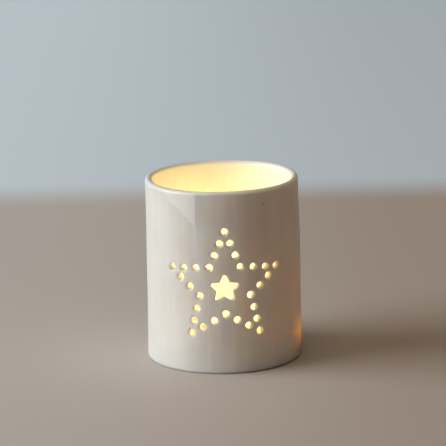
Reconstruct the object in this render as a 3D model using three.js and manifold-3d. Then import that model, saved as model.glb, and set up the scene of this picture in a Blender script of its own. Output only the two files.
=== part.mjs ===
// A porcelain tealight holder with a pierced star, and the lit tealight that stands in it.
// Millimetres, +Z up. The origin is the centre of the flat base, and the star faces -Y.

import * as THREE from 'three';
import { mergeVertices } from 'three/addons/utils/BufferGeometryUtils.js';
import Module from 'manifold-3d';

const wasm = await Module();
wasm.setup();

// ---------------------------------------------------------------- driving dimensions

const CLEARANCE = 0.3; // left between pieces that touch

// The fired body: one thin wall on a flat base, slightly narrower at the rim.
const HEIGHT = 75;
const BASE_RADIUS = 31.9;
const RIM_RADIUS = 31.3;
const WALL = 2.9;
const FLOOR = 3.5;
const FOOT_ROUND = 1.25; // outer corner at the foot
const FLOOR_ROUND = 2.4; // inner corner at the floor

// It was formed by hand, so the rim isn't quite level and the wall bows a little to +X.
const RIM_RISE_BACK = 0.5;
const RIM_RISE_RIGHT = 0.15;
const BOW = 0.2;

// The star of round holes, punched by eye. These are its tips and notches in turn, clockwise
// from the top, on the outer surface: along it from the front, and up from the base.
const STAR_CORNERS = [
  [0.6, 58.9], [6.7, 44.4], [22.9, 42.9], [10.9, 32.5], [14.6, 17.3],
  [0.5, 25.2], [-13.7, 17.1], [-10.1, 32.6], [-22.6, 43.4], [-5.9, 44.4],
];
const HOLES_PER_SIDE = 3; // the corner, and two more on the way to the next corner
const HOLE_RADIUS = 1.45;

// The small star window in the middle of it, a little wider than it is tall.
const WINDOW_ALONG = 0.2;
const WINDOW_UP = 35.6;
const WINDOW_TIP = 6.8; // before the tips are rounded
const WINDOW_NOTCH = 3.1;
const WINDOW_SQUASH = 0.92; // height for width
const WINDOW_TIP_ROUND = 1.6; // length of each side that the rounding takes

// The tealight: a standard one in a clear moulded cup, which stands off centre.
const TEALIGHT_X = 7.2;
const TEALIGHT_Y = 2;
const CUP_HEIGHT = 13;
const CUP_FOOT_RADIUS = 18.2;
const CUP_MOUTH_RADIUS = 19.1;
const CUP_WALL = 0.5;
const CUP_CORNER = 1.3;

const WAX_HEIGHT = 10;
const WAX_DISH = 0.5; // how far the molten pool lies below the edge of the wax
const WAX_EDGE = 1.4; // width of that raised edge

const SUSTAINER_RADIUS = 6.5;
const SUSTAINER_SHEET = 0.3;
const NECK_HEIGHT = 4;
const NECK_SHEET = 0.4;

const WICK_RADIUS = 0.9;
const WICK_ABOVE_WAX = 7;
const WICK_CURL = 1.6; // how far the burnt tip leans

// ---------------------------------------------------------------- solids and curves

const AROUND = 72; // steps in a turn of the body
const AROUND_TEALIGHT = 40;
const AROUND_SMALL = 20;
const WALL_RINGS = 4; // rows of vertices between the foot and the rim, which let the wall bow

// Merges a geometry's vertices and drops the triangles that shrink to nothing on the axis.
function closed(geometry) {
  const bare = geometry.clone();
  bare.deleteAttribute('normal');
  bare.deleteAttribute('uv');
  const merged = mergeVertices(bare, 1e-4);
  const corners = merged.index.array;
  const kept = [];
  for (let i = 0; i < corners.length; i += 3) {
    const [a, b, c] = corners.subarray(i, i + 3);
    if (a !== b && b !== c && c !== a) kept.push(a, b, c);
  }
  merged.setIndex(kept);
  return merged;
}

function solidFrom(geometry) {
  const mesh = closed(geometry);
  return new wasm.Manifold(new wasm.Mesh({
    numProp: 3,
    vertProperties: new Float32Array(mesh.attributes.position.array),
    triVerts: new Uint32Array(mesh.index.array),
  }));
}

function geometryFrom(solid) {
  const mesh = solid.getMesh();
  const geometry = new THREE.BufferGeometry();
  geometry.setAttribute('position', new THREE.BufferAttribute(mesh.vertProperties, 3));
  geometry.setIndex(new THREE.BufferAttribute(mesh.triVerts, 1));
  geometry.computeVertexNormals();
  return geometry;
}

const at = (radius, height) => new THREE.Vector2(radius, height);
const radians = THREE.MathUtils.degToRad;

// Points of an arc in a profile, both ends included.
function arc(centreRadius, centreHeight, radius, startDegrees, endDegrees, steps) {
  const points = [];
  for (let i = 0; i <= steps; i += 1) {
    const angle = radians(startDegrees + ((endDegrees - startDegrees) * i) / steps);
    points.push(at(centreRadius + radius * Math.cos(angle), centreHeight + radius * Math.sin(angle)));
  }
  return points;
}

// Points strictly between two profile points, so that a long wall can bend.
function between(start, end, count) {
  const points = [];
  for (let i = 1; i <= count; i += 1) {
    points.push(start.clone().lerp(end, i / (count + 1)));
  }
  return points;
}

// Turns a profile of (radius, height) points about the Z axis.
function turned(profile, steps) {
  return closed(new THREE.LatheGeometry(profile, steps)).rotateX(Math.PI / 2);
}

function colour(hex, roughness, metalness) {
  return new THREE.MeshStandardMaterial({ color: hex, roughness, metalness });
}

function piece(name, geometry, material) {
  const mesh = new THREE.Mesh(geometry, material);
  mesh.name = name;
  return mesh;
}

// ---------------------------------------------------------------- the star pattern

function holeCentres() {
  const corners = STAR_CORNERS.map(([along, up]) => at(along, up));
  const centres = [];
  corners.forEach((corner, i) => {
    const next = corners[(i + 1) % corners.length];
    for (let j = 0; j < HOLES_PER_SIDE; j += 1) {
      centres.push(corner.clone().lerp(next, j / HOLES_PER_SIDE));
    }
  });
  return centres;
}

// A round punch through the wall, square to the surface.
function holePunch(centre) {
  const middleRadius = (BASE_RADIUS + RIM_RADIUS) / 2;
  const turn = centre.x / middleRadius;
  const punch = new THREE.CylinderGeometry(HOLE_RADIUS, HOLE_RADIUS, 3 * WALL, 12);
  punch.rotateZ(turn);
  const reach = middleRadius - WALL / 2;
  punch.translate(reach * Math.sin(turn), -reach * Math.cos(turn), centre.y);
  return solidFrom(punch);
}

// The ten corners of the star window, tips and notches in turn, clockwise from the top.
function windowCorners() {
  const corners = [];
  for (let i = 0; i < 10; i += 1) {
    const angle = radians(90 - 36 * i);
    const reach = i % 2 === 0 ? WINDOW_TIP : WINDOW_NOTCH;
    corners.push(at(reach * Math.cos(angle), reach * WINDOW_SQUASH * Math.sin(angle)));
  }
  return corners;
}

// The window's outline, with its tips rounded and its notches left sharp.
function windowOutline() {
  const corners = windowCorners();
  const outline = new THREE.Shape();
  corners.forEach((corner, i) => {
    if (i % 2 === 1) {
      outline.lineTo(corner.x, corner.y);
      return;
    }
    const before = corners[(i + 9) % 10];
    const after = corners[(i + 1) % 10];
    const side = corner.distanceTo(before);
    const enter = corner.clone().lerp(before, WINDOW_TIP_ROUND / side);
    const leave = corner.clone().lerp(after, WINDOW_TIP_ROUND / side);
    if (i === 0) outline.moveTo(enter.x, enter.y);
    else outline.lineTo(enter.x, enter.y);
    outline.quadraticCurveTo(corner.x, corner.y, leave.x, leave.y);
  });
  outline.closePath();
  return outline;
}

function windowPunch() {
  const depth = 3 * WALL;
  const punch = new THREE.ExtrudeGeometry(windowOutline(), { depth, bevelEnabled: false, curveSegments: 4 });
  punch.rotateX(Math.PI / 2);
  punch.translate(WINDOW_ALONG, -BASE_RADIUS + 2 * WALL, WINDOW_UP);
  return solidFrom(punch);
}

// ---------------------------------------------------------------- the fired body

function bodyProfile() {
  const lip = WALL / 2;
  const lipHeight = HEIGHT - lip;
  const foot = arc(BASE_RADIUS - FOOT_ROUND, FOOT_ROUND, FOOT_ROUND, -90, 0, 4);
  const rim = arc(RIM_RADIUS - lip, lipHeight, lip, 0, 180, 6);
  const inside = BASE_RADIUS - WALL - FLOOR_ROUND;
  const floorCorner = arc(inside, FLOOR + FLOOR_ROUND, FLOOR_ROUND, 0, -90, 4);
  return [
    at(0, 0),
    ...foot,
    ...between(foot.at(-1), rim[0], WALL_RINGS),
    ...rim,
    ...between(rim.at(-1), floorCorner[0], WALL_RINGS),
    ...floorCorner,
    at(0, FLOOR),
  ];
}

// Lets the rim run out of level and the wall bow, leaving the base flat where it stands.
function handFormed(geometry) {
  const position = geometry.attributes.position;
  for (let i = 0; i < position.count; i += 1) {
    const x = position.getX(i);
    const y = position.getY(i);
    const z = position.getZ(i);
    const rise = (RIM_RISE_BACK * y + RIM_RISE_RIGHT * x) / RIM_RADIUS;
    const share = z / HEIGHT;
    position.setXYZ(i, x + BOW * Math.sin(Math.PI * share), y, z + rise * share);
  }
  return geometry;
}

function holderBody() {
  let body = solidFrom(handFormed(turned(bodyProfile(), AROUND)));
  holeCentres().forEach((centre) => {
    body = body.subtract(holePunch(centre));
  });
  body = body.subtract(windowPunch());
  return piece('holder_body', geometryFrom(body), colour(0xe9e5db, 0.35, 0));
}

// ---------------------------------------------------------------- the tealight

function cupProfile() {
  const insideFoot = CUP_FOOT_RADIUS - CUP_CORNER;
  const edge = CUP_WALL / 2;
  return [
    at(0, 0),
    ...arc(insideFoot, CUP_CORNER, CUP_CORNER, -90, 0, 4),
    ...arc(CUP_MOUTH_RADIUS - edge, CUP_HEIGHT - edge, edge, 0, 180, 4),
    ...arc(insideFoot, CUP_CORNER, CUP_CORNER - CUP_WALL, 0, -90, 4),
    at(0, CUP_WALL),
  ];
}

function tealightCup() {
  const clear = colour(0xe6e8e8, 0.1, 0);
  clear.transparent = true;
  clear.opacity = 0.35;
  return piece('tealight_cup', turned(cupProfile(), AROUND_TEALIGHT), clear);
}

// The cake of wax, with room under it for the sustainer and up its middle for the wick.
function waxProfile() {
  const foot = CUP_FOOT_RADIUS - CUP_WALL - CLEARANCE;
  const lean = (CUP_MOUTH_RADIUS - CUP_FOOT_RADIUS) / (CUP_HEIGHT - CUP_CORNER);
  const edge = foot + lean * (WAX_HEIGHT - CUP_CORNER); // the wax leans out with the cup's wall
  const corner = CUP_CORNER - CUP_WALL;
  const pool = WAX_HEIGHT - WAX_DISH;
  const wickRoom = WICK_RADIUS + CLEARANCE;
  const neckRoom = wickRoom + NECK_SHEET + CLEARANCE;
  const neckTop = NECK_HEIGHT + CLEARANCE;
  const discRoom = SUSTAINER_RADIUS + CLEARANCE;
  const discTop = SUSTAINER_SHEET + CLEARANCE;
  const profile = [
    at(discRoom, 0),
    ...arc(foot - corner, corner, corner, -90, 0, 3),
    at(edge, WAX_HEIGHT - 0.3),
    at(edge - 0.3, WAX_HEIGHT),
    at(edge - WAX_EDGE, WAX_HEIGHT),
    at(edge - WAX_EDGE - WAX_DISH, pool),
    at(wickRoom, pool),
    at(wickRoom, neckTop),
    at(neckRoom, neckTop),
    at(neckRoom, discTop),
    at(discRoom, discTop),
  ];
  return [...profile, profile[0].clone()];
}

function waxCake() {
  return piece('wax', turned(waxProfile(), AROUND_TEALIGHT), colour(0xf2ecd9, 0.4, 0));
}

function wickSustainer() {
  const bore = WICK_RADIUS + CLEARANCE;
  const neck = bore + NECK_SHEET;
  const profile = [
    at(bore, 0),
    at(SUSTAINER_RADIUS, 0),
    at(SUSTAINER_RADIUS, SUSTAINER_SHEET),
    at(neck, SUSTAINER_SHEET),
    at(neck, NECK_HEIGHT),
    at(bore, NECK_HEIGHT),
    at(bore, 0),
  ];
  return piece('wick_sustainer', turned(profile, AROUND_SMALL), colour(0xaeb0b2, 0.4, 0.9));
}

// The braided wick: straight through the wax, then leaning over where it burns.
function wick() {
  const poolHeight = WAX_HEIGHT - WAX_DISH;
  const bend = poolHeight + 2;
  const top = poolHeight + WICK_ABOVE_WAX;
  const path = new THREE.CurvePath();
  path.add(new THREE.LineCurve3(new THREE.Vector3(0, 0, 0), new THREE.Vector3(0, 0, bend)));
  path.add(new THREE.QuadraticBezierCurve3(
    new THREE.Vector3(0, 0, bend),
    new THREE.Vector3(0, 0, top - 1),
    new THREE.Vector3(WICK_CURL, 0, top),
  ));
  const section = new THREE.Shape().absarc(0, 0, WICK_RADIUS, 0, 2 * Math.PI);
  const geometry = new THREE.ExtrudeGeometry(section, { extrudePath: path, steps: 16, curveSegments: 6 });
  return piece('wick', closed(geometry), colour(0x2b2622, 0.9, 0));
}

function tealight() {
  const candle = new THREE.Group();
  candle.position.z = CUP_WALL + CLEARANCE;
  candle.add(waxCake(), wickSustainer(), wick());
  const group = new THREE.Group();
  group.position.set(TEALIGHT_X, TEALIGHT_Y, FLOOR + CLEARANCE);
  group.add(tealightCup(), candle);
  return group;
}

// ---------------------------------------------------------------- assembly

const assembly = new THREE.Group();
assembly.name = 'tealight_holder';
assembly.add(holderBody(), tealight());

export default assembly;
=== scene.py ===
"""A porcelain tealight holder with a pierced star and a lit tealight, built round its CAD frame.

Shapes are worked out in millimetres and turned into metres when a mesh is made.
The star faces -Y, +Z is up, and the origin is the centre of the flat base.
"""

import math

import bmesh
import bpy
from mathutils import Euler, Matrix, Vector, noise
from mathutils.geometry import delaunay_2d_cdt


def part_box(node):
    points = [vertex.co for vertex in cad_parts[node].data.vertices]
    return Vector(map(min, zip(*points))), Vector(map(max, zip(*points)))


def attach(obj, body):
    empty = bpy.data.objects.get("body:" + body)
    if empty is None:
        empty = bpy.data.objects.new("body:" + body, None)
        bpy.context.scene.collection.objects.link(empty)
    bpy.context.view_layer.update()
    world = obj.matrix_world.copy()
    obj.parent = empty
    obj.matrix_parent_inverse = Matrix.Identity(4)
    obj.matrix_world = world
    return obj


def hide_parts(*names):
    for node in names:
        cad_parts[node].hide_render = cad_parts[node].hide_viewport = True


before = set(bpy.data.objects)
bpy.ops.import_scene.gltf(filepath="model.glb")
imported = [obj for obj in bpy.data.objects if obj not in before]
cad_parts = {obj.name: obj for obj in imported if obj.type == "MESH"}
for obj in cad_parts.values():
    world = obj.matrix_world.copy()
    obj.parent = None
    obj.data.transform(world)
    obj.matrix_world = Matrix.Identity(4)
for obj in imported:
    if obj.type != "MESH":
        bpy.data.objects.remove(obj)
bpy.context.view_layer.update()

MM = 0.001


def box_mm(node):
    low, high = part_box(node)
    return low / MM, high / MM


BODY_LOW, BODY_HIGH = box_mm("holder_body")
CUP_LOW, CUP_HIGH = box_mm("tealight_cup")
WAX_LOW, WAX_HIGH = box_mm("wax")
WICK_LOW, WICK_HIGH = box_mm("wick")
SUSTAINER_LOW, SUSTAINER_HIGH = box_mm("wick_sustainer")

# ---------------------------------------------------------------- driving sizes, in mm

# Porcelain body
RIM_RISE_BACK = 0.5
RIM_RISE_RIGHT = 0.15
BOW = 0.2
WALL = 2.9
BASE_RADIUS = (BODY_HIGH.x - BODY_LOW.x) / 2
RIM_RADIUS = BASE_RADIUS - 0.6
HEIGHT = BODY_HIGH.z - RIM_RISE_BACK
FLOOR = 3.5
FOOT_ROUND = 1.25
FLOOR_ROUND = 2.4
MEAN_RADIUS = (BASE_RADIUS + RIM_RADIUS) / 2

# The pierced star: its tips and notches in turn, clockwise from the top, on the outer
# surface. Each is a distance along it from the front, and up from the base.
STAR_CORNERS = (
    (0.6, 58.9), (6.7, 44.4), (22.9, 42.9), (10.9, 32.5), (14.6, 17.3),
    (0.5, 25.2), (-13.7, 17.1), (-10.1, 32.6), (-22.6, 43.4), (-5.9, 44.4),
)
HOLES_PER_SIDE = 3
HOLE_RADIUS = 1.38
HOLE_POINTS = 28
EDGE_ROUND = 0.55

# The thinner place low on the right, where the candle glows through the wall
THIN_ANGLE = math.radians(74)
THIN_HEIGHT = 12.5
THIN_WIDTH = 9.0
THIN_RISE = 6.5
THIN_DEPTH = 1.3

# The star-shaped window in the middle of the pierced star
WINDOW_CENTRE = (0.2, 35.6)
WINDOW_TIP = 7.4
WINDOW_NOTCH = 3.35
WINDOW_SQUASH = 0.92
WINDOW_TIP_ROUND = 0.9
WINDOW_NOTCH_ROUND = 0.5
WINDOW_EDGE_ROUND = 0.4

# Mesh density of the body
COLUMNS = 192
WALL_ROWS = 70
PATCH_COLUMNS = (-26, 27)
PATCH_ROWS = (11, 60)

# Tealight
CUP_WALL = 0.45
CUP_CORNER = 1.3
CUP_FOOT = 0.9
WICK_RADIUS = 0.9
WICK_CURL = 1.6
FLAME_HEIGHT = 17
FLAME_RADIUS = 2.7


# ---------------------------------------------------------------- mesh helpers

def arc(centre, radius, start, end, steps):
    """Points of a profile arc, both ends included. Angles are in degrees."""
    points = []
    for i in range(steps + 1):
        angle = math.radians(start + (end - start) * i / steps)
        points.append((centre[0] + radius * math.cos(angle), centre[1] + radius * math.sin(angle)))
    return points


def line(start, end, steps):
    """Points from start to end of a profile line, without its two ends."""
    return [
        (start[0] + (end[0] - start[0]) * i / steps, start[1] + (end[1] - start[1]) * i / steps)
        for i in range(1, steps)
    ]


def make_object(name, points, faces, material):
    """A smooth closed mesh from points in mm, with its loose points dropped and its faces turned out."""
    shape = bmesh.new()
    vertices = [shape.verts.new(Vector(p) * MM) for p in points]
    for face in faces:
        shape.faces.new([vertices[i] for i in face])
    loose = [v for v in shape.verts if not v.link_faces]
    bmesh.ops.delete(shape, geom=loose, context="VERTS")
    bmesh.ops.recalc_face_normals(shape, faces=shape.faces)
    for face in shape.faces:
        face.smooth = True
    mesh = bpy.data.meshes.new(name)
    shape.to_mesh(mesh)
    shape.free()
    mesh.materials.append(material)
    piece = bpy.data.objects.new(name, mesh)
    bpy.context.scene.collection.objects.link(piece)
    return piece


def straight(radius, height, angle):
    return (radius * math.cos(angle), radius * math.sin(angle), height)


def turned(profile, columns, place=straight):
    """Points and faces of a profile turned about Z. A profile ends on the axis or closes on itself."""
    points = []
    rows = []
    for i, (radius, height) in enumerate(profile):
        on_axis = radius < 1e-9
        rows.append([len(points)] if on_axis else list(range(len(points), len(points) + columns)))
        for j in range(1 if on_axis else columns):
            points.append(place(radius, height, 2 * math.pi * j / columns))
    faces = []
    closes = profile[0][0] > 1e-9
    pairs = list(zip(rows, rows[1:]))
    if closes:
        pairs.append((rows[-1], rows[0]))
    for low, high in pairs:
        faces += band(low, high)
    return points, faces


def band(low, high):
    """Faces between two rings of points, or between a ring and a single point."""
    count = max(len(low), len(high))
    faces = []
    for j in range(count):
        k = (j + 1) % count
        if len(low) == 1:
            faces.append((low[0], high[k], high[j]))
        elif len(high) == 1:
            faces.append((low[j], low[k], high[0]))
        else:
            faces.append((low[j], low[k], high[k], high[j]))
    return faces


# ---------------------------------------------------------------- the pierced openings

def window_corners():
    """The ten corners of the star window, tips and notches in turn, clockwise from the top."""
    corners = []
    for i in range(10):
        angle = math.radians(90 - 36 * i)
        reach = WINDOW_NOTCH if i % 2 else WINDOW_TIP
        offset = Vector((reach * math.cos(angle), reach * WINDOW_SQUASH * math.sin(angle)))
        corners.append(Vector(WINDOW_CENTRE) + offset)
    return corners


def round_hole(centre, radius):
    """An opening as (point, outward direction) pairs, here a slightly uneven circle."""
    outline = []
    for i in range(HOLE_POINTS):
        angle = 2 * math.pi * i / HOLE_POINTS
        out = Vector((math.cos(angle), math.sin(angle)))
        uneven = 0.05 * noise.noise(Vector((out.x + centre.x, out.y + centre.y, 3.1)))
        outline.append((centre + out * (radius + uneven), out))
    return outline


def star_window():
    """The small star as (point, outward direction) pairs, its tips and notches rounded."""
    corners = window_corners()
    outline = []
    for i, corner in enumerate(corners):
        before = (corners[i - 1] - corner).normalized()
        after = (corners[(i + 1) % 10] - corner).normalized()
        inward = (before + after).normalized()
        half = inward.angle(before)
        is_notch = i % 2 == 1
        radius = WINDOW_NOTCH_ROUND if is_notch else WINDOW_TIP_ROUND
        centre = corner + inward * radius / math.sin(half)
        steps = 4 if is_notch else 8
        sweep = math.pi / 2 - half
        for k in range(steps + 1):
            turn = sweep * (2 * k / steps - 1)
            away = Matrix.Rotation(turn if is_notch else -turn, 2) @ -inward
            outline.append((centre + away * radius, -away if is_notch else away))
    return with_side_points(outline)


def with_side_points(outline):
    """Adds points along an outline's longer straight sides."""
    filled = []
    for i, (point, out) in enumerate(outline):
        following, following_out = outline[(i + 1) % len(outline)]
        filled.append((point, out))
        extra = int((following - point).length / 0.6)
        for k in range(1, extra + 1):
            share = k / (extra + 1)
            filled.append((point.lerp(following, share), out.lerp(following_out, share).normalized()))
    return filled


def openings():
    """All the openings, each as its outline on the outer surface and the rounding of its edge."""
    corners = [Vector(corner) for corner in STAR_CORNERS]
    outlines = []
    for i, corner in enumerate(corners):
        following = corners[(i + 1) % 10]
        for j in range(HOLES_PER_SIDE):
            centre = corner.lerp(following, j / HOLES_PER_SIDE)
            nudge = noise.noise_vector(Vector((centre.x, centre.y, 7.7))) * 0.1
            outlines.append((round_hole(centre + nudge.xy, HOLE_RADIUS + nudge.z * 0.5), EDGE_ROUND))
    outlines.append((star_window(), WINDOW_EDGE_ROUND))
    return outlines


def inside(point, polygon):
    """True if a point lies in a polygon, by counting the sides it would cross."""
    crossings = 0
    for a, b in zip(polygon, polygon[1:] + polygon[:1]):
        if (a.y > point.y) != (b.y > point.y):
            crossings += point.x < a.x + (b.x - a.x) * (point.y - a.y) / (b.y - a.y)
    return crossings % 2 == 1


# ---------------------------------------------------------------- the porcelain body

def wall_radius(up):
    share = (up - FOOT_ROUND) / (HEIGHT - WALL / 2 - FOOT_ROUND)
    return BASE_RADIUS + (RIM_RADIUS - BASE_RADIUS) * share


def hand_formed(x, y, z):
    """Moves a point as the hand-made body runs out of true, leaving its base flat."""
    share = z / HEIGHT
    rise = (RIM_RISE_BACK * y + RIM_RISE_RIGHT * x) / RIM_RADIUS
    out = Vector((x, y, 0))
    angle = math.atan2(x, -y)
    settle = min(1, z / 8)
    unevenness = noise.noise(Vector((x, y, z * 0.7)) * 0.07 + Vector((3, 8, 1)))
    swell = 0.1 * math.sin(2 * angle + 0.6) + 0.16 * unevenness
    if out.length > 1:
        out = out.normalized() * swell * settle
    ripple = 0.12 * share ** 3 * math.sin(3 * angle + 1.1)
    return (x + out.x + BOW * math.sin(math.pi * share), y + out.y, z + rise * share + ripple)


def thin_spot(angle, height):
    """How much is missing from the inside of the wall at this place."""
    sideways = (angle - THIN_ANGLE) * MEAN_RADIUS / THIN_WIDTH
    upwards = (height - THIN_HEIGHT) / THIN_RISE
    return THIN_DEPTH * max(0.0, 1 - sideways ** 2 - upwards ** 2) ** 2


def body_point(radius, height, angle):
    """A point of the body. Angle 0 is the front, and it grows towards +X."""
    depth = wall_radius(height) - radius
    if 0 < depth < WALL + 0.01:
        radius += thin_spot(angle, height) * depth / WALL
    return hand_formed(radius * math.sin(angle), -radius * math.cos(angle), height)


def wall_point(along, up, depth):
    return body_point(wall_radius(up) - depth, up, along / MEAN_RADIUS)


def wall_heights():
    top = HEIGHT - WALL / 2
    return [FOOT_ROUND + (top - FOOT_ROUND) * k / WALL_ROWS for k in range(WALL_ROWS + 1)]


def body_profile():
    """The body's profile from under its centre to the floor inside, and where its walls start in it."""
    heights = wall_heights()
    foot = (BASE_RADIUS - FOOT_ROUND, FOOT_ROUND)
    lip = (RIM_RADIUS - WALL / 2, HEIGHT - WALL / 2)
    corner = (BASE_RADIUS - WALL - FLOOR_ROUND, FLOOR + FLOOR_ROUND)
    under = [(0, 0)] + line((0, 0), (foot[0], 0), 12)
    profile = under + arc(foot, FOOT_ROUND, -90, 0, 8)[:-1]
    outer_start = len(profile)
    profile += [(wall_radius(up), up) for up in heights]
    profile += arc(lip, WALL / 2, 0, 180, 16)[1:-1]
    inner_start = len(profile)
    profile += [(wall_radius(up) - WALL, up) for up in reversed(heights) if up > corner[1] + 0.5]
    profile += arc(corner, FLOOR_ROUND, 0, -90, 8)
    profile += line((corner[0], FLOOR), (0, FLOOR), 12) + [(0, FLOOR)]
    return profile, outer_start, inner_start


def body_shell():
    """Points and faces of the turned body, without the cells that the pierced patch fills."""
    profile, outer_start, inner_start = body_profile()
    points, faces = turned(profile, COLUMNS, body_point)

    def outer(row, column):
        return 1 + (outer_start - 1 + row) * COLUMNS + column % COLUMNS

    def inner(row, column):
        return 1 + (inner_start - 1 + WALL_ROWS - row) * COLUMNS + column % COLUMNS

    skipped = set()
    for row in range(*PATCH_ROWS):
        for column in range(*PATCH_COLUMNS):
            for skin in (outer, inner):
                below = [skin(row, column), skin(row, column + 1)]
                above = [skin(row + 1, column), skin(row + 1, column + 1)]
                skipped.add(frozenset(below + above))
    kept = [face for face in faces if frozenset(face) not in skipped]
    return points, kept, outer, inner


def patch_grid(outlines):
    """The wall points of the patch as (row, column, place), apart from those in or near an opening."""
    heights = wall_heights()
    step = 2 * math.pi * MEAN_RADIUS / COLUMNS
    first_row, last_row = PATCH_ROWS
    first_column, last_column = PATCH_COLUMNS
    kept = []
    for row in range(first_row, last_row + 1):
        for column in range(first_column, last_column + 1):
            place = Vector((column * step, heights[row]))
            on_border = row in PATCH_ROWS or column in PATCH_COLUMNS
            if on_border or clear_of(place, outlines):
                kept.append((row, column, place))
    return kept


def clear_of(place, outlines):
    for outline, rounding in outlines:
        if min((place - point).length for point, _ in outline) < rounding + 0.4:
            return False
        if inside(place, [point for point, _ in outline]):
            return False
    return True


def pierced_patch(points, faces, outer, inner):
    """Fills the patch on both skins round its openings, and lines each opening with a rounded tunnel."""
    outlines = openings()
    places = []
    outer_index = []
    inner_index = []
    for row, column, place in patch_grid(outlines):
        places.append(place)
        outer_index.append(outer(row, column))
        inner_index.append(inner(row, column))
    edges = []
    loops = []
    for outline, rounding in outlines:
        first = len(places)
        count = len(outline)
        rings = tunnel(points, faces, outline, rounding)
        places += [point + out * rounding for point, out in outline]
        outer_index += rings[0]
        inner_index += rings[-1]
        edges += [(first + i, first + (i + 1) % count) for i in range(count)]
        loops.append(range(first, first + count))
    _, _, triangles, origins, _, _ = delaunay_2d_cdt(places, edges, [], 0, 1e-7)
    loop_of = {i: loop for loop in loops for i in loop}
    for triangle in triangles:
        corners = [origins[i][0] for i in triangle]
        shared = {loop_of.get(i) for i in corners}
        if len(shared) == 1 and None not in shared:
            centre = sum((places[i] for i in corners), Vector((0, 0))) / 3
            if inside(centre, [places[i] for i in shared.pop()]):
                continue
        faces.append([outer_index[i] for i in corners])
        faces.append([inner_index[i] for i in reversed(corners)])


def tunnel(points, faces, outline, rounding):
    """Lines an opening from the outer skin to the inner one. Gives back its rings of point numbers."""
    quarter = [math.radians(90 * k / 5) for k in range(6)]
    steps = [(rounding * (1 - math.sin(a)), rounding * (1 - math.cos(a))) for a in quarter]
    steps += [(0, WALL * share) for share in (0.35, 0.5, 0.65)]
    steps += [(offset, WALL - depth) for offset, depth in reversed(steps[:6])]
    rings = []
    for offset, depth in steps:
        ring = []
        for point, out in outline:
            place = point + out * offset
            ring.append(len(points))
            points.append(wall_point(place.x, place.y, depth))
        rings.append(ring)
    for low, high in zip(rings, rings[1:]):
        faces += band(low, high)
    return rings


def make_body(material):
    points, faces, outer, inner = body_shell()
    pierced_patch(points, faces, outer, inner)
    body = make_object("porcelain_body", points, faces, material)
    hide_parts("holder_body")
    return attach(body, "holder")


# ---------------------------------------------------------------- the tealight

CUP_CENTRE = (CUP_LOW + CUP_HIGH) / 2
CUP_RADIUS = (CUP_HIGH.x - CUP_LOW.x) / 2
CUP_HEIGHT = CUP_HIGH.z - CUP_LOW.z


def beside(centre, low):
    """A placing function for pieces that are turned about a vertical axis at centre."""
    def place(radius, height, angle):
        return (centre.x + radius * math.cos(angle), centre.y + radius * math.sin(angle), low + height)
    return place


def make_cup(material):
    """A thin moulded cup that leans out, with a rounded lip, a foot ring and a raised base inside it."""
    foot = (CUP_HIGH.x - CUP_LOW.x) / 2 - CUP_FOOT
    lip = CUP_WALL / 2
    corner = (foot - CUP_CORNER, CUP_CORNER)
    ring, ring_width, lift = 13.2, 0.8, 0.3
    base = [(0, lift)] + line((0, lift), (ring - ring_width, lift), 10)
    base += [(ring - ring_width, lift), (ring - 0.3, 0.05), (ring, 0), (corner[0] - 0.4, 0)]
    outside = arc(corner, CUP_CORNER, -90, 0, 8)
    top = arc((CUP_RADIUS - lip, CUP_HEIGHT - lip), lip, 0, 180, 8)
    inner_corner = arc(corner, CUP_CORNER - CUP_WALL, 0, -90, 8)
    profile = base + outside + line(outside[-1], top[0], 14) + top
    profile += line(top[-1], inner_corner[0], 14) + inner_corner
    profile += [(radius, height + CUP_WALL) for radius, height in reversed(base)]
    points, faces = turned(profile, 144, beside(CUP_CENTRE, CUP_LOW.z))
    cup = make_object("clear_cup", points, faces, material)
    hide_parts("tealight_cup")
    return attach(cup, "cup")


def make_wax(material):
    """A cake with a set edge that thickens and thins, round a molten pool that climbs the wick a little."""
    height = WAX_HIGH.z - WAX_LOW.z
    edge = (WAX_HIGH.x - WAX_LOW.x) / 2
    foot = edge - CUP_FOOT * height / CUP_HEIGHT
    pool = height - 0.5
    wick_room = WICK_RADIUS + 0.12
    neck_room = 1.9
    disc_room = 6.8
    outside = arc((foot - 1, 1), 1, -90, 0, 6)
    shoulder = arc((edge - 0.35, height - 0.35), 0.35, 0, 90, 5)
    bank = [(edge - 1.1, height), (edge - 1.5, height - 0.12), (edge - 1.9, pool + 0.08), (edge - 2.4, pool)]
    climb = [(wick_room + 0.9, pool), (wick_room + 0.4, pool + 0.1), (wick_room, pool + 0.35)]
    under = [(wick_room, 4.3), (neck_room, 4.3), (neck_room, 0.6), (disc_room, 0.6), (disc_room, 0)]
    profile = under + line(under[-1], outside[0], 8) + outside
    profile += line(outside[-1], shoulder[0], 8) + shoulder + bank + line(bank[-1], climb[0], 12) + climb
    centre = (WAX_LOW + WAX_HIGH) / 2
    centred = beside(centre, WAX_LOW.z)

    def place(radius, up, angle):
        near_top = max(0, min(1, (up - pool + 0.4) / 0.4))
        near_edge = max(0, min(1, (radius - edge + 3) / 1.2)) * (radius < edge - 0.3)
        around = Vector((math.cos(angle), math.sin(angle), 0)) * 2.2
        wander = noise.noise(around) * 0.45 * near_top * near_edge
        return centred(radius + wander, up, angle)

    points, faces = turned(profile, 144, place)
    wax = make_object("wax_cake", points, faces, material)
    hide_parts("wax")
    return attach(wax, "candle")


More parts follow.
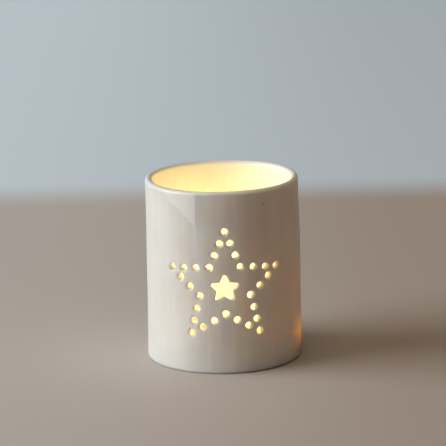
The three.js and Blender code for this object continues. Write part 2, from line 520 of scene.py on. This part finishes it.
def make_sustainer(material):
    """A tin-plated disc with a turned-down edge and a neck that four dents crimp onto the wick."""
    sheet = 0.3
    radius = (SUSTAINER_HIGH.x - SUSTAINER_LOW.x) / 2
    height = SUSTAINER_HIGH.z - SUSTAINER_LOW.z
    bore = WICK_RADIUS + 0.15
    neck = bore + 0.4
    bottom = [(bore + 0.35, 0), (radius - 0.15, 0)]
    rim = arc((radius - sheet / 2, sheet / 2), sheet / 2, -60, 90, 6)
    root = arc((neck + 0.3, sheet + 0.3), 0.3, -90, -180, 5)
    top = arc(((bore + neck) / 2, height - 0.2), (neck - bore) / 2, 0, 180, 6)
    mouth = arc((bore + 0.35, 0.35), 0.35, 180, 270, 5)[:-1]
    profile = bottom[:1] + line(bottom[0], bottom[1], 8) + rim + line(rim[-1], root[0], 8)
    profile += root + line(root[-1], top[0], 12) + top + line(top[-1], mouth[0], 12) + mouth
    centred = beside(CUP_CENTRE, SUSTAINER_LOW.z)

    def place(reach, up, angle):
        on_neck = 1 if reach < neck + 0.05 else 0
        crimp = math.exp(-((up - height * 0.62) / 0.6) ** 2) * max(0, math.cos(4 * angle)) ** 2
        return centred(reach - 0.12 * crimp * on_neck, up, angle)

    points, faces = turned(profile, 64, place)
    sustainer = make_object("tin_sustainer", points, faces, material)
    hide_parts("wick_sustainer")
    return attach(sustainer, "candle")


def wick_line(share):
    """A point of the wick's centre line. It is straight in the wax, then leans over where it burns."""
    height = WICK_HIGH.z - WICK_LOW.z - 0.35
    bend_from = 0.66
    rise = height * share
    lean = max(0, (share - bend_from) / (1 - bend_from))
    droop = 0.5 * lean ** 3
    return Vector((CUP_CENTRE.x + WICK_CURL * lean ** 2, CUP_CENTRE.y, WICK_LOW.z + rise - droop))


def make_wick(material):
    """A braided cord, modelled strand by strand as crossing ridges, frayed and thinner at the burnt end."""
    rings = 110
    sides = 40
    points = [tuple(wick_line(0))]
    faces = []
    previous = [0]
    for i in range(rings + 1):
        share = i / rings
        centre = wick_line(share)
        ahead = (wick_line(min(1, share + 0.01)) - wick_line(max(0, share - 0.01))).normalized()
        across = ahead.cross(Vector((0, 1, 0))).normalized()
        burnt = max(0, (share - 0.8) / 0.2)
        end = math.sqrt(max(0.02, 1 - max(0, (share - 0.96) / 0.04) ** 2))
        ring = []
        for j in range(sides):
            angle = 2 * math.pi * j / sides
            right = abs(math.sin(2 * angle + share * 34))
            left = abs(math.sin(2 * angle - share * 34))
            braid = 0.1 * max(right, left) + 0.02 * math.sin(20 * angle)
            place = Vector((math.cos(angle) * 3, math.sin(angle) * 3, share * 60))
            frayed = burnt * 0.12 * noise.noise(place)
            radius = (WICK_RADIUS - 0.12 + braid + frayed) * (1 - 0.15 * burnt) * end
            out = across * math.cos(angle) + ahead.cross(across) * math.sin(angle)
            ring.append(len(points))
            points.append(tuple(centre + out * radius))
        faces += band(previous, ring)
        previous = ring
    points.append(tuple(wick_line(1) + Vector((0.1, 0, 0.02))))
    faces += band(previous, [len(points) - 1])
    wick = make_object("braided_wick", points, faces, material)
    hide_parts("wick")
    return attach(wick, "candle")


def flame_radius(share):
    """The flame's half width: a round foot, its widest at a third, and a long tapering tip."""
    body = math.sin(math.pi * share ** 0.62) ** 0.9
    return FLAME_RADIUS * body * (1 - 0.35 * share)


def make_flame(material):
    rings = 48
    foot = WICK_HIGH.z - 4.5
    profile = [(0, 0)]
    profile += [(flame_radius(i / rings), FLAME_HEIGHT * i / rings) for i in range(1, rings)]
    profile += [(0, FLAME_HEIGHT)]

    def place(radius, height, angle):
        share = height / FLAME_HEIGHT
        lean = 0.9 + 0.5 * math.sin(share * 2.2)
        x = CUP_CENTRE.x + lean + radius * math.cos(angle)
        return (x, CUP_CENTRE.y + radius * 0.85 * math.sin(angle), foot + height)

    points, faces = turned(profile, 48, place)
    flame = make_object("flame", points, faces, material)
    flame.visible_shadow = False
    flame.visible_diffuse = False
    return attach(flame, "candle")


# ---------------------------------------------------------------- materials

class Graph:
    """A material's nodes. Each call adds a node and gives back what it puts out."""

    def __init__(self, name):
        self.material = bpy.data.materials.new(name)
        self.material.use_nodes = True
        self.tree = self.material.node_tree
        self.shader = self.tree.nodes["Principled BSDF"]

    def feed(self, socket, value):
        if isinstance(value, bpy.types.NodeSocket):
            self.tree.links.new(value, socket)
        else:
            socket.default_value = value

    def node(self, kind, inputs=None, **settings):
        made = self.tree.nodes.new("ShaderNode" + kind)
        for key, value in settings.items():
            setattr(made, key, value)
        for key, value in (inputs or {}).items():
            self.feed(made.inputs[key], value)
        return made

    def maths(self, operation, first, second=0.0, third=0.0):
        return self.node("Math", {0: first, 1: second, 2: third}, operation=operation).outputs[0]

    def total(self, *values):
        result = values[0]
        for value in values[1:]:
            result = self.maths("ADD", result, value)
        return result

    def product(self, *values):
        result = values[0]
        for value in values[1:]:
            result = self.maths("MULTIPLY", result, value)
        return result

    def millimetres(self):
        """The place on the piece, in mm in the row frame."""
        place = self.node("TexCoord").outputs["Object"]
        return self.node("VectorMath", {0: place, 3: 1 / MM}, operation="SCALE").outputs[0]

    def stretched(self, vector, scale):
        return self.node("VectorMath", {0: vector, 1: scale}, operation="MULTIPLY").outputs[0]

    def split(self, vector):
        return self.node("SeparateXYZ", {0: vector}).outputs

    def joined(self, x, y, z=0.0):
        return self.node("CombineXYZ", {0: x, 1: y, 2: z}).outputs[0]

    def distance(self, x, y, centre=(0.0, 0.0)):
        """How far (x, y) is from centre."""
        offset = self.joined(self.maths("SUBTRACT", x, centre[0]), self.maths("SUBTRACT", y, centre[1]))
        return self.node("VectorMath", {0: offset}, operation="LENGTH").outputs["Value"]

    def noise(self, vector, scale, detail=2.0, roughness=0.5):
        inputs = {"Vector": vector, "Scale": scale, "Detail": detail, "Roughness": roughness}
        return self.node("TexNoise", inputs).outputs["Fac"]

    def step(self, value, low, high, start=0.0, end=1.0):
        """Goes smoothly from start to end as value goes from low to high."""
        inputs = {"Value": value, "From Min": low, "From Max": high, "To Min": start, "To Max": end}
        made = self.node("MapRange", inputs, interpolation_type="SMOOTHSTEP")
        return made.outputs["Result"]

    def mix(self, share, first, second):
        made = self.node("Mix", {0: share, 6: first, 7: second}, data_type="RGBA")
        return made.outputs[2]

    def bump(self, height_mm, strength=1.0):
        inputs = {"Height": height_mm, "Distance": MM, "Strength": strength}
        return self.node("Bump", inputs).outputs["Normal"]

    def set(self, **inputs):
        """Sets the shader's own sockets. A name's underscores stand for spaces."""
        for key, value in inputs.items():
            self.feed(self.shader.inputs[key.replace("_", " ")], value)
        return self.material


def rgb(red, green, blue):
    return (red, green, blue, 1.0)


def slanted_line(graph, along, up, foot, top, width):
    """A thin upright line on the wall from foot to top, each given as (along, up) in mm."""
    lean = (top[0] - foot[0]) / (top[1] - foot[1])
    centre = graph.maths("MULTIPLY_ADD", up, lean, foot[0] - lean * foot[1])
    distance = graph.maths("ABSOLUTE", graph.maths("SUBTRACT", along, centre))
    across = graph.step(distance, 0.0, width, 1.0, 0.0)
    rises = graph.step(up, foot[1] - 2, foot[1] + 2)
    ends = graph.step(up, top[1] - 3, top[1] + 1, 1.0, 0.0)
    return graph.product(across, rises, ends)


def spot(graph, along, up, centre, radius):
    """A small round mark on the wall."""
    return graph.step(graph.distance(along, up, centre), radius * 0.4, radius, 1.0, 0.0)


def glaze_smear(graph, along, up, place):
    """The thicker glaze near the rim, left of the star: a ragged slanting edge, a straight one and a drip."""
    ragged = graph.product(graph.maths("SUBTRACT", graph.noise(place, 0.5, 4.0), 0.5), 8.0)
    slant = graph.total(graph.product(along, 0.80), up, ragged)
    above = graph.step(slant, 51.6, 52.2)
    left = graph.step(along, -11.3, -10.7, 1.0, 0.0)
    drip = slanted_line(graph, along, up, (-10.8, 56.5), (-11.3, 63.0), 0.8)
    return graph.maths("MAXIMUM", graph.product(above, left), drip)


def darker_band(graph, along, up):
    """A darker band that starts at the smear's straight edge and fades out to its right."""
    after = graph.step(along, -11.3, -10.7)
    fades = graph.step(along, -10.0, -1.0, 1.0, 0.0)
    high = graph.step(up, 56.0, 65.0)
    return graph.product(after, fades, high)


def porcelain():
    graph = Graph("satin_porcelain")
    place = graph.millimetres()
    x, y, up = graph.split(place)
    angle = graph.maths("ARCTAN2", x, graph.maths("MULTIPLY", y, -1.0))
    along = graph.product(angle, MEAN_RADIUS)
    wall = graph.joined(along, up)
    outside = graph.step(graph.distance(x, y), BASE_RADIUS - WALL + 0.9, BASE_RADIUS - WALL + 1.5)
    drawn_out = graph.joined(along, graph.product(up, 0.05))

    cloud = graph.noise(place, 0.06, 3.0)
    streaks = graph.noise(drawn_out, 0.42, 2.0)
    grain = graph.noise(place, 2.2, 3.0, 0.6)
    smear = graph.product(glaze_smear(graph, along, up, wall), outside)
    darker_band_mask = graph.product(darker_band(graph, along, up), outside)
    seam = graph.product(slanted_line(graph, along, up, (-6.5, 2.0), (-5.9, 36.0), 0.5), outside)
    ridge = graph.product(slanted_line(graph, along, up, (6.3, 63.3), (4.45, 72.5), 0.45), outside)
    bump = graph.product(spot(graph, along, up, (-14.0, 49.7), 0.7), outside)
    cells = graph.node("TexVoronoi", {"Vector": place, "Scale": 0.16})
    chosen = graph.step(graph.split(cells.outputs["Color"])[0], 0.93, 0.94)
    specks = graph.product(graph.step(cells.outputs["Distance"], 0.018, 0.035, 1.0, 0.0), chosen)
    pinhole = graph.product(spot(graph, along, up, (17.2, 68.7), 0.4), outside)
    dark_speck = graph.maths("MAXIMUM", specks, pinhole)

    tone = graph.total(graph.product(cloud, 0.6), graph.product(streaks, 0.4))
    colour = graph.mix(graph.step(tone, 0.3, 0.7), rgb(0.80, 0.775, 0.715), rgb(0.86, 0.845, 0.80))
    colour = graph.mix(graph.product(smear, 0.8), colour, rgb(0.91, 0.90, 0.88))
    # Darker in a band that fades out to the right of the smear's straight edge.
    colour = graph.mix(graph.product(darker_band_mask, 0.75), colour, rgb(0.72, 0.69, 0.62))
    colour = graph.mix(graph.product(graph.maths("MAXIMUM", seam, ridge), 0.6), colour, rgb(0.92, 0.9, 0.86))
    # Painted highlight: the top of the rim is made lighter, standing in for the light that falls on it.
    colour = graph.mix(graph.step(up, HEIGHT - 2.2, HEIGHT - 0.9), colour, rgb(0.88, 0.865, 0.82))
    colour = graph.mix(graph.product(dark_speck, 0.8), colour, rgb(0.23, 0.18, 0.14))
    # Painted shade: darker brown towards the base, where it meets the floor.
    painted_foot_shade = graph.step(up, 0.2, 2.2, 0.35, 0.0)
    colour = graph.mix(painted_foot_shade, colour, rgb(0.70, 0.62, 0.52))

    height = graph.total(
        graph.product(cloud, 0.25),
        graph.product(streaks, 0.05),
        graph.product(grain, 0.006),
        graph.product(smear, 0.05),
        graph.product(seam, 0.05),
        graph.product(ridge, 0.05),
        graph.product(bump, 0.08),
    )
    roughness = graph.total(
        0.34,
        graph.product(cloud, 0.12),
        graph.product(grain, 0.06),
        graph.product(smear, -0.06),
    )
    graph.shader.inputs["Subsurface Radius"].default_value = (1.0, 0.82, 0.5)
    return graph.set(
        Base_Color=colour,
        Roughness=roughness,
        Normal=graph.bump(height),
        Subsurface_Weight=0.8,
        Subsurface_Scale=0.002,
        IOR=1.5,
        Coat_Weight=0.15,
        Coat_Roughness=0.25,
    )


def clear_plastic():
    """Clear moulded plastic. It thickens towards its edges, where it is seen through its side."""
    graph = Graph("clear_plastic")
    place = graph.millimetres()
    haze = graph.noise(place, 0.4, 3.0)
    edge_on = graph.node("LayerWeight", {"Blend": 0.35}).outputs["Facing"]
    solid = graph.total(0.10, graph.product(edge_on, 0.55), graph.product(haze, 0.06))
    return graph.set(
        Base_Color=graph.mix(haze, rgb(0.86, 0.88, 0.89), rgb(0.93, 0.94, 0.94)),
        Roughness=graph.total(0.05, graph.product(haze, 0.08)),
        Normal=graph.bump(graph.product(haze, 0.04)),
        IOR=1.58,
        Alpha=solid,
    )


def paraffin():
    graph = Graph("paraffin")
    place = graph.millimetres()
    x, y, up = graph.split(place)
    reach = graph.distance(x, y, (CUP_CENTRE.x, CUP_CENTRE.y))
    edge = graph.total(reach, graph.product(graph.noise(place, 0.5, 2.0), 1.2))
    at_top = graph.step(up, WAX_HIGH.z - 1.2, WAX_HIGH.z - 0.8)
    melted = graph.product(graph.step(edge, 15.6, 16.3, 1.0, 0.0), at_top)
    bloom = graph.noise(place, 0.9, 4.0, 0.6)
    set_colour = graph.mix(bloom, rgb(0.86, 0.83, 0.76), rgb(0.93, 0.91, 0.86))
    colour = graph.mix(melted, set_colour, rgb(0.80, 0.74, 0.58))
    sooty = graph.product(graph.step(reach, 1.2, 3.0, 0.5, 0.0), at_top)
    colour = graph.mix(sooty, colour, rgb(0.45, 0.36, 0.25))
    solid = graph.maths("SUBTRACT", 1.0, melted)
    roughness = graph.total(0.04, graph.product(solid, graph.total(0.3, graph.product(bloom, 0.2))))
    pits = graph.total(graph.product(bloom, 0.08), graph.product(graph.noise(place, 4.0), 0.01))
    height = graph.product(solid, pits)
    graph.shader.inputs["Subsurface Radius"].default_value = (1.0, 0.8, 0.55)
    return graph.set(
        Base_Color=colour,
        Roughness=roughness,
        Normal=graph.bump(height),
        Subsurface_Weight=0.9,
        Subsurface_Scale=0.004,
        IOR=1.43,
    )


def tinplate():
    graph = Graph("tinplate")
    place = graph.millimetres()
    spangle = graph.noise(place, 1.4, 3.0, 0.65)
    rolled = graph.noise(graph.stretched(place, (0.1, 3.0, 1.0)), 2.0)
    colour = graph.mix(spangle, rgb(0.56, 0.57, 0.58), rgb(0.76, 0.76, 0.75))
    roughness = graph.total(0.22, graph.product(spangle, 0.25))
    height = graph.total(graph.product(spangle, 0.01), graph.product(rolled, 0.01))
    return graph.set(Base_Color=colour, Metallic=1.0, Roughness=roughness, Normal=graph.bump(height))


def cotton():
    """Waxed cotton, charred where it stands out of the wax, with a glowing tip."""
    graph = Graph("braided_cotton")
    place = graph.millimetres()
    _, _, up = graph.split(place)
    fibre = graph.noise(graph.stretched(place, (3.0, 3.0, 1.0)), 4.0, 4.0)
    ragged = graph.total(up, graph.product(fibre, 1.2))
    clean = graph.mix(fibre, rgb(0.62, 0.55, 0.42), rgb(0.80, 0.75, 0.62))
    char = graph.mix(fibre, rgb(0.012, 0.010, 0.009), rgb(0.06, 0.05, 0.045))
    burnt = graph.step(ragged, WAX_HIGH.z + 0.6, WAX_HIGH.z + 2.4)
    colour = graph.mix(burnt, clean, char)
    glow = graph.step(ragged, WICK_HIGH.z - 1.2, WICK_HIGH.z + 0.4)
    ember = graph.mix(glow, rgb(0.0, 0.0, 0.0), rgb(1.0, 0.16, 0.02))
    roughness = graph.total(0.6, graph.product(burnt, 0.35))
    return graph.set(
        Base_Color=colour,
        Roughness=roughness,
        Normal=graph.bump(graph.product(fibre, 0.05)),
        Emission_Color=ember,
        Emission_Strength=4.0,
    )


def flame_glow():
    """Dim blue at the foot, pale yellow in the body and orange at the tip, thinning out at both ends."""
    graph = Graph("flame_glow")
    _, _, up = graph.split(graph.millimetres())
    foot = WICK_HIGH.z - 4.5
    share = graph.maths("DIVIDE", graph.maths("SUBTRACT", up, foot), FLAME_HEIGHT)
    ramp = graph.node("ValToRGB", {"Fac": share})
    stops = ramp.color_ramp.elements
    stops[0].position = 0.0
    stops[0].color = rgb(0.02, 0.05, 0.25)
    stops[1].position = 1.0
    stops[1].color = rgb(1.0, 0.36, 0.06)
    stops.new(0.16).color = rgb(0.35, 0.16, 0.06)
    stops.new(0.34).color = rgb(1.0, 0.66, 0.22)
    stops.new(0.7).color = rgb(1.0, 0.74, 0.32)
    solid = graph.product(graph.step(share, 0.02, 0.36, 0.15, 1.0), graph.step(share, 0.82, 1.0, 1.0, 0.25))
    return graph.set(
        Base_Color=rgb(0.0, 0.0, 0.0),
        Roughness=1.0,
        Specular_IOR_Level=0.0,
        Emission_Color=ramp.outputs["Color"],
        Emission_Strength=6.0,
        Alpha=solid,
    )


# ---------------------------------------------------------------- stage, light and camera

def make_floor():
    """A plain pale floor, a little darker on the right, that runs back into a cool tone with painted light:
    lighter on the left, and glowing a little.
    """
    half = 3.0
    mesh = bpy.data.meshes.new("stage_floor")
    corners = [(-half, -half, 0), (half, -half, 0), (half, half, 0), (-half, half, 0)]
    mesh.from_pydata(corners, [], [(0, 1, 2, 3)])
    floor = bpy.data.objects.new("stage_floor", mesh)
    bpy.context.scene.collection.objects.link(floor)
    graph = Graph("stage_floor")
    across, back, _ = graph.split(graph.millimetres())
    near = graph.mix(graph.step(across, -110.0, 110.0), rgb(0.704, 0.66, 0.628), rgb(0.53, 0.44, 0.385))
    # Painted light: the far tone is lighter on the left, as if lit from that side.
    far = graph.mix(graph.step(across, -200.0, 200.0), rgb(0.748, 0.792, 0.822), rgb(0.528, 0.537, 0.512))
    backdrop = graph.step(back, 280.0, 350.0)
    mesh.materials.append(graph.set(
        Base_Color=graph.mix(backdrop, near, far),
        Roughness=0.7,
        Specular_IOR_Level=0.2,
        # Painted light: the far tone glows a little, so that it looks softly lit.
        Emission_Color=graph.mix(backdrop, rgb(0.0, 0.0, 0.0), rgb(0.083, 0.13, 0.178)),
        Emission_Strength=1.0,
    ))


def aim(obj, target):
    obj.rotation_euler = (Vector(target) - obj.location).to_track_quat("-Z", "Y").to_euler()


def sun_light(name, place, spread, strength, colour):
    """Even, soft light from a wide patch of sky in the direction of place."""
    light = bpy.data.lights.new(name, "SUN")
    light.energy = strength
    light.color = colour
    light.angle = math.radians(spread)
    lamp = bpy.data.objects.new(name, light)
    lamp.location = place
    bpy.context.scene.collection.objects.link(lamp)
    aim(lamp, (0, 0, 0))


def candle_light(light, place, power, colour):
    """Warm light that moves with the candle, turned outwards to the wall."""
    light.energy = power
    light.color = colour
    lamp = bpy.data.objects.new(light.name, light)
    lamp.location = Vector(place) * MM
    bpy.context.scene.collection.objects.link(lamp)
    aim(lamp, lamp.location + Vector((place[0], place[1], 0)))
    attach(lamp, "candle")


def make_lights():
    """Daylight from a low window on the left, a little from above, and the candle's own light."""
    sun_light("window", (-2.0, -0.28, 0.82), 50, 2.76, (0.888, 0.948, 1.0))
    sun_light("ceiling", (0.0, -0.1, 2.0), 40, 0.75, (1.0, 0.84, 0.63))
    flame = bpy.data.lights.new("flame_light", "POINT")
    flame.shadow_soft_size = 6.0 * MM
    candle_light(flame, (CUP_CENTRE.x + 1.3, CUP_CENTRE.y, WICK_HIGH.z + 12), 0.043, (1.0, 0.76, 0.33))
    glow = bpy.data.lights.new("wax_light", "AREA")
    glow.shape = "DISK"
    glow.size = 10.0 * MM
    candle_light(glow, (24.4, -6.8, 9.5), 0.0045, (1.0, 0.5, 0.14))
    world = bpy.data.worlds.new("studio")
    world.use_nodes = True
    background = world.node_tree.nodes["Background"]
    background.inputs["Color"].default_value = (1.0, 0.7, 0.5, 1.0)
    background.inputs["Strength"].default_value = 0.02
    bpy.context.scene.world = world


def make_camera():
    """The photograph's place and angle: a slight roll, looking down a little."""
    distance = 0.8755
    height_of_target = 0.03648
    elevation = math.radians(14.273)
    tilt_down = math.radians(13.091)
    turn_right = math.radians(0.018)
    roll = math.radians(-1.117)
    data = bpy.data.cameras.new("camera")
    data.sensor_width = 36
    data.lens = 171.4
    data.clip_start = 0.01
    data.clip_end = 20
    camera = bpy.data.objects.new("camera", data)
    back = distance * math.cos(elevation)
    rise = distance * math.sin(elevation)
    looking = Euler((math.pi / 2 - tilt_down, 0, -turn_right)).to_matrix() @ Matrix.Rotation(roll, 3, "Z")
    camera.matrix_world = Matrix.Translation((0, -back, height_of_target + rise)) @ looking.to_4x4()
    bpy.context.scene.collection.objects.link(camera)
    bpy.context.scene.camera = camera


def set_colour_management():
    view = bpy.context.scene.view_settings
    view.view_transform = "Standard"
    view.look = "None"


# ---------------------------------------------------------------- everything in place

set_colour_management()
make_camera()
make_body(porcelain())
make_cup(clear_plastic())
make_wax(paraffin())
make_sustainer(tinplate())
make_wick(cotton())
make_flame(flame_glow())
make_floor()
make_lights()
